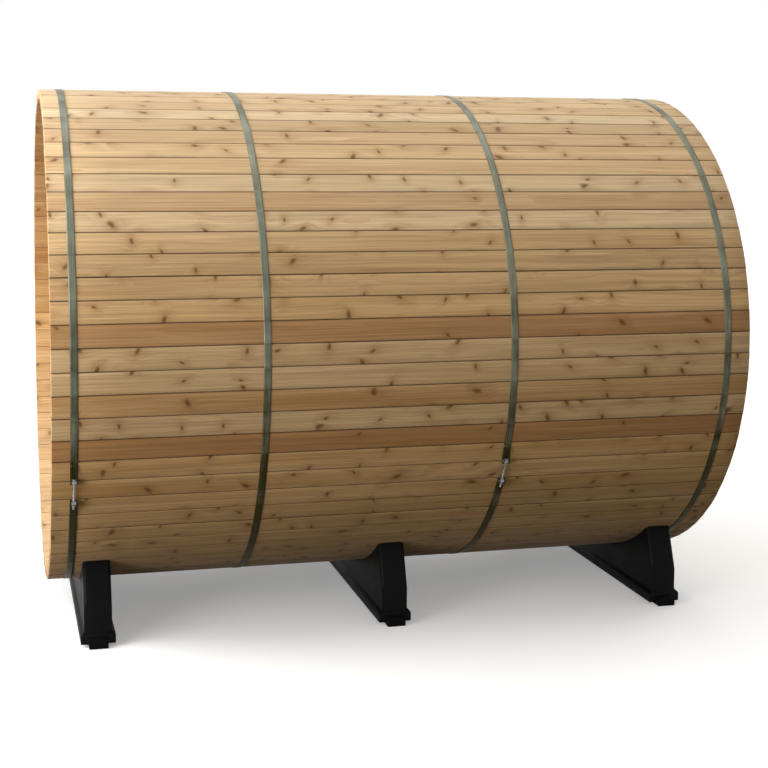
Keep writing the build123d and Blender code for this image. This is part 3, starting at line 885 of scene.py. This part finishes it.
# %% Middle line of a hoop
HOOP_WIDTH = 25.0
HOOP_THICKNESS = 1.2
SLOT_WIDTH = 15.0
TENSIONER_STAVE = 24
TRUNNION_RADIUS = 8.0
LOOP_CLEARANCE = 0.2
LOOP_FOOT = radians(-68)
LOOP_POINTS = 14
STRAP_LANDING = 8.0
SEAM_BRIDGE = 4.0
face_half = BARREL_RADIUS * tan(half_angle)
trunnion_place = face_half - 5.0
strap_tail = face_half - 10.0
loop_radius = TRUNNION_RADIUS + LOOP_CLEARANCE + HOOP_THICKNESS / 2
strip_radius = BARREL_RADIUS + HOOP_THICKNESS / 2
trunnion_height = strip_radius + loop_radius


def on_hoop(across, height, degrees_round):
    """A point on the plane across the barrel, from its place on a stave turned this far from the top."""
    angle = radians(degrees_round)
    y = across * cos(angle) - height * sin(angle)
    z = AXIS_HEIGHT + across * sin(angle) + height * cos(angle)
    return (y, z)


def folded_end():
    """The strap from its tail, round the pin, to the foot of the loop. The slot opens at True."""
    landing = (-strap_tail + STRAP_LANDING, strip_radius + HOOP_THICKNESS)
    reach = Vector((landing[0] - trunnion_place, landing[1] - trunnion_height))
    first = atan2(reach.y, reach.x) % (2 * pi) - (pi / 2 - asin(loop_radius / reach.length))
    points = [(-strap_tail, landing[1], False), (landing[0], landing[1], True)]
    for angle in np.linspace(first, LOOP_FOOT, LOOP_POINTS):
        across = trunnion_place + loop_radius * cos(angle)
        points.append((across, trunnion_height + loop_radius * sin(angle), True))
    points[-1] = points[-1][:2] + (False,)
    points.append((trunnion_place, strip_radius, False))
    return points


def hoop_line(side):
    """Middle line of a hoop as points (y, z) with a mark where the slot is open."""
    start = side * (TENSIONER_STAVE + 0.5) * STAVE_ANGLE
    end = folded_end()
    line = [(*on_hoop(across, height, start + STAVE_ANGLE), slot) for across, height, slot in end]
    last = STAVE_COUNT - 1
    for number in range(1, last + 1):
        degrees_round = start + number * STAVE_ANGLE
        if number > 1:
            line.append((*on_hoop(face_half - SEAM_BRIDGE, strip_radius, degrees_round), False))
        if number < last:
            line.append((*on_hoop(-face_half + SEAM_BRIDGE, strip_radius, degrees_round), False))
    slots = [slot for _, _, slot in reversed(end)][1:] + [False]
    for (across, height, _), slot in zip(reversed(end), slots):
        line.append((*on_hoop(-across, height, start + last * STAVE_ANGLE), slot))
    return line


print("cross pins lie", round(trunnion_height - BARREL_RADIUS, 1), "mm out from the staves")

# %% [markdown]
# The sheet has three columns of faces, and the middle one is left out where the slot is. Each flat gets
# its own thickness of film from the dice, partly painted reflection, and more of it the lower it lies,
# which is painted shade; the folded ends get a full film, also painted shade. A modifier then gives the
# sheet its thickness to both sides of the middle line.

# %% Hoops
# Film per flat from the dice, partly a real film and partly painted reflection
FILM_AND_REFLECTION_SPREAD = (0.19, 0.3)
# Painted shade: more film the lower a flat lies, and less high up
PAINTED_SHADE_LOW_DOWN = 0.55
PAINTED_SHADE_TOP_LIMIT = -0.3
# Painted shade: a full film on the folded ends
SLOT_PAINTED_SHADE = 1.0
MARKS_APART = 7


def hoop_mesh(name, x, side):
    """A hoop's strip with its two slots, as a sheet that a modifier thickens."""
    line = hoop_line(side)
    columns = (-HOOP_WIDTH / 2, -SLOT_WIDTH / 2, SLOT_WIDTH / 2, HOOP_WIDTH / 2)
    wide = len(columns)
    points = [(x + offset, y, z) for y, z, _ in line for offset in columns]
    steps = [hypot(b[0] - a[0], b[1] - a[1]) for a, b in zip(line, line[1:])]
    lengths = np.concatenate([[0.0], np.cumsum(steps)])
    faces, film_and_shade = [], []
    for row, (_, z, slot) in enumerate(line[:-1]):
        # Painted shade: the film grows the lower the flat lies
        low_down = np.clip((AXIS_HEIGHT - z) / BARREL_RADIUS, PAINTED_SHADE_TOP_LIMIT, 1.0)
        # Painted shade on the folded ends; the random share per flat is partly painted reflection
        row_film_and_shade = SLOT_PAINTED_SHADE if slot else dice.uniform(*FILM_AND_REFLECTION_SPREAD) + PAINTED_SHADE_LOW_DOWN * low_down
        for column in range(wide - 1):
            if slot and column == 1:
                continue
            corner = row * wide + column
            faces.append((corner, corner + 1, corner + wide + 1, corner + wide))
            film_and_shade.append(row_film_and_shade)
    mesh = mesh_of(name, points, faces)
    set_attribute(mesh, "film_and_shade", "FLOAT", "FACE", film_and_shade)
    grain = [(length * MM, offset * MM, 0.0) for length in lengths for offset in columns]
    grain = np.array(grain) + (x * MM * MARKS_APART, 0, 0)
    set_attribute(mesh, "grain", "FLOAT_VECTOR", "POINT", grain)
    return mesh, lengths[-1]


for name, (x, side) in HOOPS.items():
    mesh, length = hoop_mesh(name, x, side)
    hoop = piece("steel_" + name, mesh, strip_steel, "hoop_steel", name, smooth=1.5)
    thick = hoop.modifiers.new("strip thickness", "SOLIDIFY")
    thick.thickness = HOOP_THICKNESS * MM
    thick.offset = 0
    thick.use_even_offset = True
    print(hoop.name, round(length), "mm of strip")

# %% [markdown]
# ## Cross pins, bolts and nuts
#
# A bolt draws the two folded ends of a hoop together. Its head pulls on one cross pin and its nut on
# the other. All of them are turned or threaded, so one function makes them: it stacks rings along a
# line, and the radius of each ring may change with the angle, which gives round pins, six-sided heads
# and a real helical thread.

# %% Turned pieces
CORNER_CUTS = {0.0: 0.96, 0.3: 1.03, 1.2: 1 / cos(pi / 6)}
RINGS_PER_PITCH = 4


def turned(points, faces, start, axis, across, rings, sides):
    """Add a closed turned body. Each ring is a distance along the axis and a radius for each angle."""
    other = axis.cross(across)
    base = len(points)
    for distance, radius in rings:
        for step in range(sides):
            angle = 2 * pi * step / sides
            size = radius(angle) if callable(radius) else radius
            around = cos(angle) * across + sin(angle) * other
            points.append(tuple(start + axis * distance + size * around))
    faces.extend(skin(base, len(rings), sides))


def hexagon(flats, limit):
    """Radius of a six-sided bar at an angle, cut back to a round of this radius at its corners."""
    return lambda angle: min(flats / 2 / cos((angle + pi / 6) % (pi / 3) - pi / 6), limit)


def hex_rings(start, height, flats):
    """A head or nut whose corners are turned off at both ends."""
    rings = [(inset, hexagon(flats, cut * flats / 2)) for inset, cut in CORNER_CUTS.items()]
    near = [(start + inset, shape) for inset, shape in rings]
    return near + [(start + height - inset, shape) for inset, shape in reversed(rings)]


def thread_rings(first, last, radius, pitch, depth):
    """A screw thread: rings whose crest climbs one pitch in each turn."""

    def crest(distance):
        return lambda angle: radius - depth * abs(2 * ((distance / pitch - angle / (2 * pi)) % 1) - 1)

    count = round((last - first) / (pitch / RINGS_PER_PITCH))
    return [(distance, crest(distance)) for distance in np.linspace(first, last, count).tolist()]


print("rings in each pitch of a thread:", RINGS_PER_PITCH)

# %% [markdown]
# The two cross pins of a hoop lie one stave's angle to either side of the stave under the bolt, so the
# bolt's height and reach follow from that angle. The bolt has a plain shank under its head and a thread
# from there to its tip.

# %% Tensioners
PIN_CHAMFER = 0.8
PIN_SIDES = 32
BOLT_RADIUS = 4.0
BOLT_TAIL = 14.0
BOLT_SIDES = 24
SHANK_END = -8.0
THREAD_START = -7.5
THREAD_PITCH = 1.25
THREAD_DEPTH = 0.77
TIP_LENGTH = 1.2
TIP_RADIUS = 2.9
NUT_FLATS = 13.0
NUT_HEIGHT = 6.5
HEAD_HEIGHT = 5.5
SEAT_CLEARANCE = 0.1
loop_turn = radians(STAVE_ANGLE)
bolt_reach = trunnion_height * sin(loop_turn) - trunnion_place * cos(loop_turn)
bolt_height = trunnion_height * cos(loop_turn) + trunnion_place * sin(loop_turn)
seat = bolt_reach + TRUNNION_RADIUS + SEAT_CLEARANCE
bolt_end = seat + NUT_HEIGHT + BOLT_TAIL

pin_half = HOOP_WIDTH / 2
pin_rings = [
    (-pin_half, TRUNNION_RADIUS - PIN_CHAMFER),
    (-pin_half + PIN_CHAMFER, TRUNNION_RADIUS),
    (pin_half - PIN_CHAMFER, TRUNNION_RADIUS),
    (pin_half, TRUNNION_RADIUS - PIN_CHAMFER),
]
nut_rings = hex_rings(seat, NUT_HEIGHT, NUT_FLATS)
bolt_rings = hex_rings(-seat - HEAD_HEIGHT, HEAD_HEIGHT, NUT_FLATS)
bolt_rings += [(-seat, BOLT_RADIUS), (SHANK_END, BOLT_RADIUS)]
bolt_rings += thread_rings(THREAD_START, bolt_end - TIP_LENGTH, BOLT_RADIUS, THREAD_PITCH, THREAD_DEPTH)
bolt_rings += [(bolt_end, TIP_RADIUS)]

pins, bolts, nuts = ([], []), ([], []), ([], [])
along_barrel = Vector((1, 0, 0))
for x, side in HOOPS.values():
    round_barrel = side * (TENSIONER_STAVE + 0.5) * STAVE_ANGLE
    for end in (-1, 1):
        pin_place = Vector((x, *on_hoop(end * bolt_reach, bolt_height, round_barrel)))
        turned(*pins, pin_place, along_barrel, Vector((0, 1, 0)), pin_rings, PIN_SIDES)
    middle = Vector((x, *on_hoop(0, bolt_height, round_barrel)))
    tip = Vector((x, *on_hoop(-side, bolt_height, round_barrel)))
    downward = (tip - middle).normalized()
    turned(*bolts, middle, downward, along_barrel, bolt_rings, BOLT_SIDES)
    turned(*nuts, middle, downward, along_barrel, nut_rings, BOLT_SIDES)

for name, (points, faces) in (("hoop_trunnions", pins), ("hoop_bolts", bolts), ("hoop_nuts", nuts)):
    mesh = mesh_of(name, points, faces)
    set_attribute(mesh, "grain", "FLOAT_VECTOR", "POINT", np.array(points) * MM)
    made = piece("steel_" + name, mesh, bar_steel, "bolt_steel", name, smooth=35)
    print(made.name, len(mesh.polygons), "faces")

# %% [markdown]
# ## Cradles and pads
#
# The barrel rests on three saddles of black plastic, moulded with a fine pebbled skin, so they are
# nearly black with a soft sheen that draws a grey line along every eased edge. The blocks under them
# are plain black rubber. The pebble of such a mould is about 0.3 mm, drawn here at 2 mm on the plastic
# and 3 mm on the rubber. The shapes are the solid model's own, with their edges eased.

# %% Moulded plastic and rubber
DUST_SIZE = 142.86
PEBBLE_RELIEF = 0.5
DUST_ROUGHNESS = 0.15
CRADLE_EASE = 3.0
PAD_EASE = 1.5


def moulded_material(name, colours, roughness, pebble, strength):
    """A black moulding with a pebbled skin and faint scuffs. Colours: clean, then scuffed."""
    material, tree = new_material(name)
    place = add(tree, "ShaderNodeTexCoord", out="Object")
    pebbles = {"Vector": place, "Scale": 1 / (pebble * MM), "Detail": 2.0}
    height = add(tree, "ShaderNodeTexNoise", pebbles, out="Fac")
    dust = {"Vector": place, "Scale": 1 / (DUST_SIZE * MM), "Detail": 5.0}
    dust = add(tree, "ShaderNodeTexNoise", dust, out="Fac")
    dust = add(tree, "ShaderNodeMapRange", {"Value": dust, "From Min": 0.45, "From Max": 0.8})
    paint = {0: dust, 6: linear(colours[0]), 7: linear(colours[1])}
    shine = {"Value": dust, "To Min": roughness, "To Max": roughness + DUST_ROUGHNESS}
    relief = {"Height": height, "Strength": strength, "Distance": PEBBLE_RELIEF * MM}
    shader = add(
        tree,
        "ShaderNodeBsdfPrincipled",
        {
            "Base Color": add(tree, "ShaderNodeMix", paint, **COLOUR_MIX),
            "Roughness": add(tree, "ShaderNodeMapRange", shine),
            "Normal": add(tree, "ShaderNodeBump", relief, out="Normal"),
            "IOR": 1.49,
            "Specular IOR Level": 0.08,
        },
    )
    add(tree, "ShaderNodeOutputMaterial", {"Surface": shader})
    return material


def moulded_piece(prefix, node, material, slot, ease):
    """An eased copy of a moulded piece of the solid model."""
    work = eased_copy(node, ease, least_angle=12, segments=3)
    mesh = bpy.data.meshes.new(node)
    work.to_mesh(mesh)
    work.free()
    return piece(prefix + node, mesh, material, slot, node, smooth=30)


black_plastic = moulded_material("moulded_black_polyethylene", ("#060606", "#0D0D0D"), 0.5, 2.0, 0.3)
black_rubber = moulded_material("moulded_black_rubber", ("#050505", "#0B0B0A"), 0.75, 3.0, 0.5)
for place in ("front", "middle", "back"):
    cradle = moulded_piece("plastic_", place + "_cradle", black_plastic, "cradle_plastic", CRADLE_EASE)
    pads = moulded_piece("rubber_", place + "_pads", black_rubber, "pad_rubber", PAD_EASE)
    print(cradle.name, len(cradle.data.polygons), "faces,", pads.name, len(pads.data.polygons))

# %% [markdown]
# ## Hinges
#
# Two plain butt hinges carry the door, pressed from zinc-plated steel with a dull, even grey. The solid
# model leaves out their screws. Each hinge has four here: low domed heads with a six-lobed recess,
# turned like the bolts and placed from the hinge's own box.

# %% Hinges
HINGE_LEAF = 2.0
HINGE_EASE = 0.4
SCREW_ASIDE = 0.3
SCREW_ABOVE = 0.32
SCREW_SIDES = 36
RECESS_RADIUS = 1.6
RECESS_LOBE = 0.35


def lobes(angle):
    """Radius of the six-lobed recess in a screw head."""
    return RECESS_RADIUS + RECESS_LOBE * cos(6 * angle)


screw_rings = [(-0.5, 4.0), (0.3, 4.0), (0.8, 3.3), (1.0, 2.4), (1.0, lobes), (0.1, lobes)]
hinge_colours = ("#62625C", "#8F8F89")
hinge_marks = (16.667, 16.667)
pressed_steel = steel_material("pressed_zinc_plated_steel", hinge_colours, (0.8, 0.8), 0.5, hinge_marks)
work = eased_copy("door_hinges", HINGE_EASE)
screws = ([], [])
outward = Vector((-1, 0, 0))
for hinge in separate_boards(work):
    places = np.array([vert.co for vert in hinge]) / MM
    low, high = places.min(0), places.max(0)
    centre, size = (low + high) / 2, high - low
    for aside in (-SCREW_ASIDE, SCREW_ASIDE):
        for above in (-SCREW_ABOVE, SCREW_ABOVE):
            head = Vector((high[0] - HINGE_LEAF, centre[1] + aside * size[1], centre[2] + above * size[2]))
            turned(*screws, head, outward, Vector((0, 1, 0)), screw_rings, SCREW_SIDES)
work.from_mesh(mesh_of("hinge_screws", *screws))
mesh = bpy.data.meshes.new("door_hinges")
work.to_mesh(mesh)
grain = [vert.co[:] for vert in work.verts]
work.free()
set_attribute(mesh, "grain", "FLOAT_VECTOR", "POINT", grain)
piece("steel_door_hinges", mesh, pressed_steel, "hinge_steel", "door_hinges")
print("hinges made, with", len(screws[1]), "faces of screws")

# %% [markdown]
# ## Floor
#
# The sauna stands on a plain white floor. A floor that is white to the camera would throw light up
# under the barrel, so it is only dark and warm to the light that bounces off it. The camera, and
# whatever mirrors the floor, sees it white with the barrel's soft shadow on it, and it fades into the
# white background a few metres out.

# %% Floor
FLOOR_HALF = 30.0
FLOOR_BOUNCE = "#443B20"
FLOOR_SEEN = "#F2F2F2"
FADE_FROM, FADE_TO = 2.5, 9.0
LIFT_NEAR, LIFT_FAR = 0.26, 0.9


def seen_by_eye(tree):
    """1 for rays of the camera, of mirrors and of glass, and 0 for light that only bounces."""
    path = add(tree, "ShaderNodeLightPath").node.outputs
    direct = {0: path["Is Camera Ray"], 1: path["Is Glossy Ray"]}
    seen = add(tree, "ShaderNodeMath", direct, operation="MAXIMUM")
    return add(tree, "ShaderNodeMath", {0: seen, 1: path["Is Transmission Ray"]}, operation="MAXIMUM")


floor_mesh = bpy.data.meshes.new("floor")
corners = [(-1, -1), (1, -1), (1, 1), (-1, 1)]
floor_mesh.from_pydata([(a * FLOOR_HALF, b * FLOOR_HALF, 0.0) for a, b in corners], [], [(0, 1, 2, 3)])
floor = bpy.data.objects.new("floor", floor_mesh)
bpy.context.scene.collection.objects.link(floor)
floor_material, tree = new_material("pale_floor")
seen = seen_by_eye(tree)
paint = add(tree, "ShaderNodeMix", {0: seen, 6: linear(FLOOR_BOUNCE), 7: linear(FLOOR_SEEN)}, **COLOUR_MIX)
matt = add(tree, "ShaderNodeBsdfDiffuse", {"Color": paint})
place = add(tree, "ShaderNodeTexCoord", out="Object")
reach = add(tree, "ShaderNodeVectorMath", {0: place}, out="Value", operation="LENGTH")
fade = {"Value": reach, "From Min": FADE_FROM, "From Max": FADE_TO, "To Min": LIFT_NEAR, "To Max": LIFT_FAR}
lift = add(tree, "ShaderNodeMapRange", fade, interpolation_type="SMOOTHSTEP")
lift = add(tree, "ShaderNodeMath", {0: seen, 1: lift}, operation="MULTIPLY")
glow = add(tree, "ShaderNodeEmission", {"Color": linear("#FFFFFF"), "Strength": lift})
both = add(tree, "ShaderNodeAddShader", {0: matt, 1: glow})
add(tree, "ShaderNodeOutputMaterial", {"Surface": both})
floor_mesh.materials.append(floor_material)
print("floor of", 2 * FLOOR_HALF, "m")

# %% [markdown]
# ## Light
#
# A weak dome gives an even light, a little stronger from above. A wide soft lamp overhead makes the top
# of the barrel pale and puts a sheen on the upper flats of the hoops, one at the side draws the fall of
# light from the porch end to the back, and one looks into the porch. A last, weaker one stands behind,
# for the back wall and the far side.

# %% Light
SKY_LIGHT = "#F6F4F0"
SKY_SEEN = "#FFFFFF"
DOME_LEVEL, DOME_TOP = 0.385, 0.67
# Name, place, the point it faces, size in metres and power in watts
LAMPS = (
    ("top_lamp", (0.0, 0.0, 6.5), (0.0, 0.0, 0.0), 6.0, 144.0),
    ("side_lamp", (-5.0, -3.5, 1.7), (-0.8, 0.0, 0.9), 3.0, 150.0),
    ("porch_lamp", (-3.8, -0.5, 2.2), (-1.1, 0.7, 0.6), 2.0, 120.0),
    ("back_lamp", (5.0, 3.5, 2.2), (0.8, 0.0, 0.9), 3.0, 110.0),
)

world = bpy.data.worlds.new("sky of light")
bpy.context.scene.world = world
world.use_nodes = True
tree = world.node_tree
tree.nodes.clear()
seen = seen_by_eye(tree)
sky = add(tree, "ShaderNodeMix", {0: seen, 6: linear(SKY_LIGHT), 7: linear(SKY_SEEN)}, **COLOUR_MIX)
height = add(tree, "ShaderNodeSeparateXYZ", {0: add(tree, "ShaderNodeTexCoord", out="Generated")}, out="Z")
strength = add(tree, "ShaderNodeMapRange", {"Value": height, "To Min": DOME_LEVEL, "To Max": DOME_TOP})
strength = add(tree, "ShaderNodeMix", {0: seen, 2: strength, 3: 1.0}, data_type="FLOAT")
dome = add(tree, "ShaderNodeBackground", {"Color": sky, "Strength": strength})
add(tree, "ShaderNodeOutputWorld", {"Surface": dome})


def soft_lamp(name, place, aim, size, power):
    """A square area lamp that faces a point."""
    data = bpy.data.lights.new(name, "AREA")
    data.size = size
    data.energy = power
    lamp = bpy.data.objects.new(name, data)
    lamp.location = place
    lamp.rotation_euler = (Vector(aim) - Vector(place)).to_track_quat("-Z", "Y").to_euler()
    lamp.visible_camera = False
    bpy.context.scene.collection.objects.link(lamp)


for lamp in LAMPS:
    soft_lamp(*lamp)
bpy.context.scene.view_settings.view_transform = "Standard"
print("lamps:", len(LAMPS))
